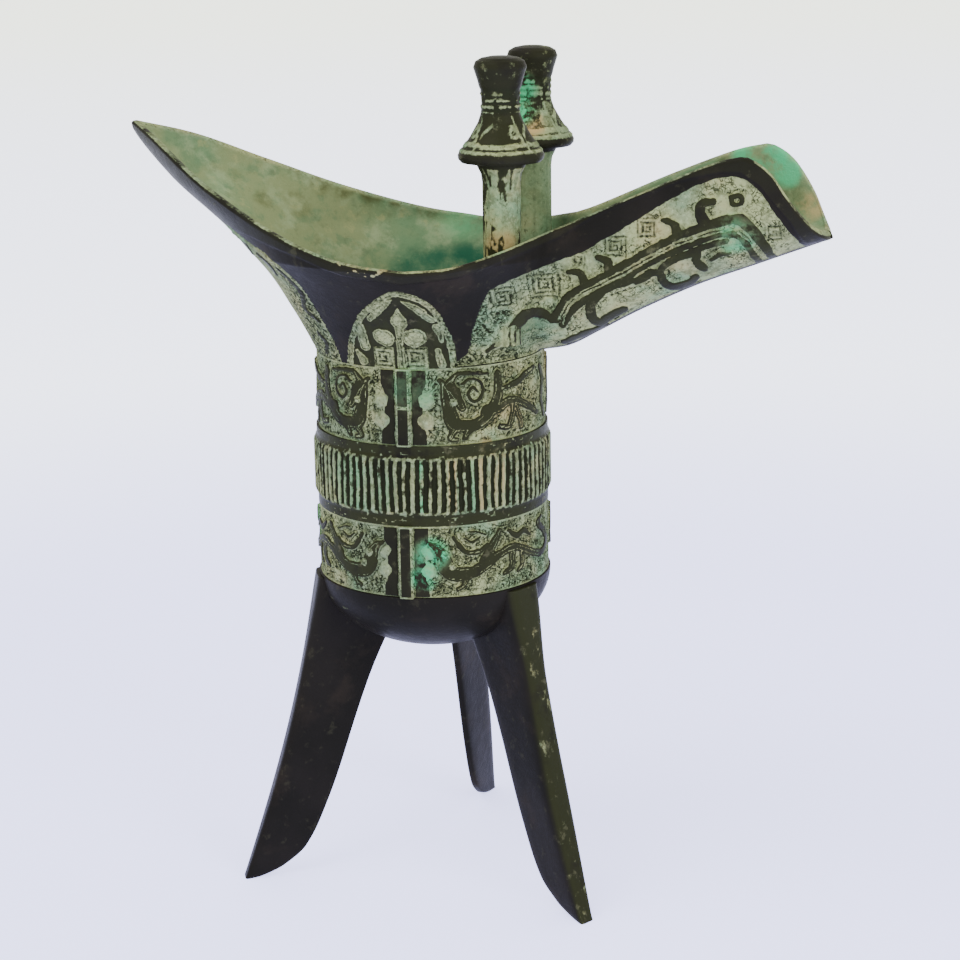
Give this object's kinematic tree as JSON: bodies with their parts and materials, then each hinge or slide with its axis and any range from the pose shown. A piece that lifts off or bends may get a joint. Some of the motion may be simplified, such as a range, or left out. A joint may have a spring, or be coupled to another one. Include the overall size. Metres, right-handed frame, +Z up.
{
  "type": "bronze tripod wine cup",
  "caption": "Cast bronze tripod wine cup with a trough spout, pointed tail, two capped posts, relief bands and a strap handle.",
  "frame": {"origin": "bottom centre of the bounding box, on the floor under the three feet", "axes": "+X towards the pouring spout, +Y towards the handle, +Z up"},
  "size_m": [0.1824, 0.0992, 0.2188],
  "materials": {
    "bronze": "dark cast bronze with pale green patina in the recesses"
  },
  "bodies": {
    "root": {"wine_cup": "bronze"}
  },
  "joints": []
}
